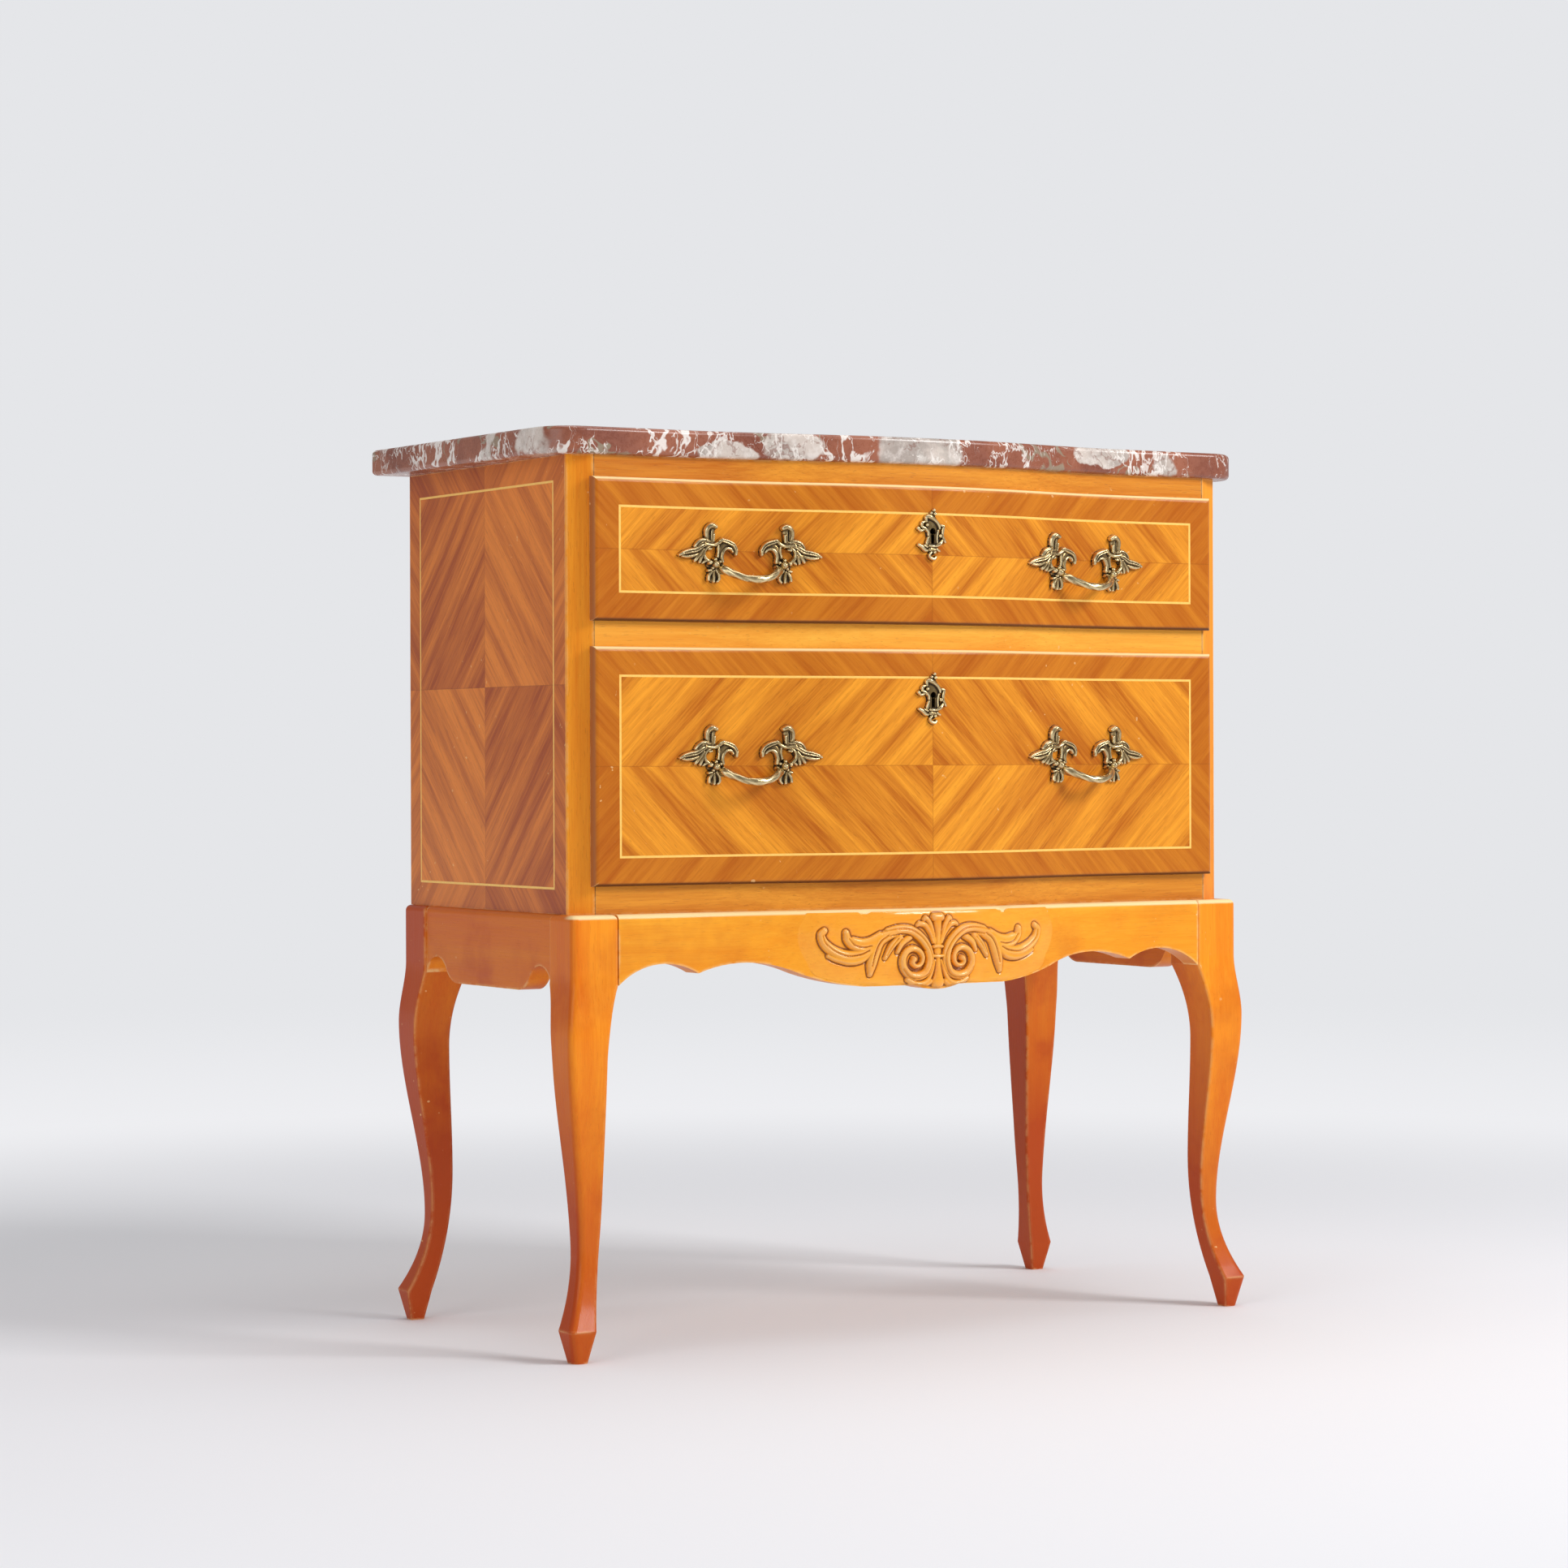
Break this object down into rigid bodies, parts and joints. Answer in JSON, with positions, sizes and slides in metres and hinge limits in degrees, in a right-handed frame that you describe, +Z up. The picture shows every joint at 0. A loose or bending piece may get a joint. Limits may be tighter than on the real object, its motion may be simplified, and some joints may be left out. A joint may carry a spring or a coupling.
{
  "type": "commode chest",
  "caption": "Small chest with a bow-and-hollow curved front, sliding drawers with cast handles and locks, a marble top and a stand on cabriole legs.",
  "frame": {"origin": "on the floor, below the middle of the chest", "axes": "+X to the right as seen from the front, +Y to the back, +Z up"},
  "size_m": [0.735, 0.3612, 0.78],
  "materials": {
    "marble": "polished",
    "front_veneer": "polished",
    "side_veneer": "polished",
    "frame_wood": "polished",
    "stand_wood": "polished",
    "inner_wood": "bare",
    "brass": "worn",
    "steel": "dull"
  },
  "bodies": {
    "carcass": {"marble_top": "marble", "left_side_panel": "side_veneer", "right_side_panel": "side_veneer", "left_corner_stile": "frame_wood", "right_corner_stile": "frame_wood", "top_rail": "frame_wood", "middle_rail": "frame_wood", "bottom_rail": "frame_wood", "back_panel": "inner_wood", "top_back_rail": "inner_wood", "case_bottom": "inner_wood", "left_lower_runner": "inner_wood", "right_lower_runner": "inner_wood", "left_upper_runner": "inner_wood", "right_upper_runner": "inner_wood", "left_kicker": "inner_wood", "right_kicker": "inner_wood", "drawer_stops": "inner_wood", "front_left_leg": "stand_wood", "front_right_leg": "stand_wood", "rear_left_leg": "stand_wood", "rear_right_leg": "stand_wood", "front_apron": "stand_wood", "left_apron": "stand_wood", "right_apron": "stand_wood", "rear_apron": "stand_wood", "corner_braces": "inner_wood", "base_screws": "steel"},
    "upper_drawer": {"upper_drawer_front": "front_veneer", "upper_drawer_left_side": "inner_wood", "upper_drawer_right_side": "inner_wood", "upper_drawer_back": "inner_wood", "upper_drawer_bottom": "inner_wood", "upper_left_handle": "brass", "upper_right_handle": "brass", "upper_handle_screws": "steel", "upper_escutcheon": "brass", "upper_lock_case": "steel", "upper_lock_screws": "steel"},
    "upper_lock_bolt_body": {"upper_lock_bolt": "brass"},
    "lower_drawer": {"lower_drawer_front": "front_veneer", "lower_drawer_left_side": "inner_wood", "lower_drawer_right_side": "inner_wood", "lower_drawer_back": "inner_wood", "lower_drawer_bottom": "inner_wood", "lower_left_handle": "brass", "lower_right_handle": "brass", "lower_handle_screws": "steel", "lower_escutcheon": "brass", "lower_lock_case": "steel", "lower_lock_screws": "steel"},
    "lower_lock_bolt_body": {"lower_lock_bolt": "brass"}
  },
  "joints": [
    {"name": "upper_drawer_slide", "type": "slide", "parent": "carcass", "child": "upper_drawer", "axis": [0, -1, 0], "range_m": [0, 0.21]},
    {"name": "upper_lock_bolt_slide", "type": "slide", "parent": "upper_drawer", "child": "upper_lock_bolt_body", "axis": [0, 0, 1], "range_m": [0, 0.007]},
    {"name": "lower_drawer_slide", "type": "slide", "parent": "carcass", "child": "lower_drawer", "axis": [0, -1, 0], "range_m": [0, 0.21]},
    {"name": "lower_lock_bolt_slide", "type": "slide", "parent": "lower_drawer", "child": "lower_lock_bolt_body", "axis": [0, 0, 1], "range_m": [0, 0.007]}
  ]
}
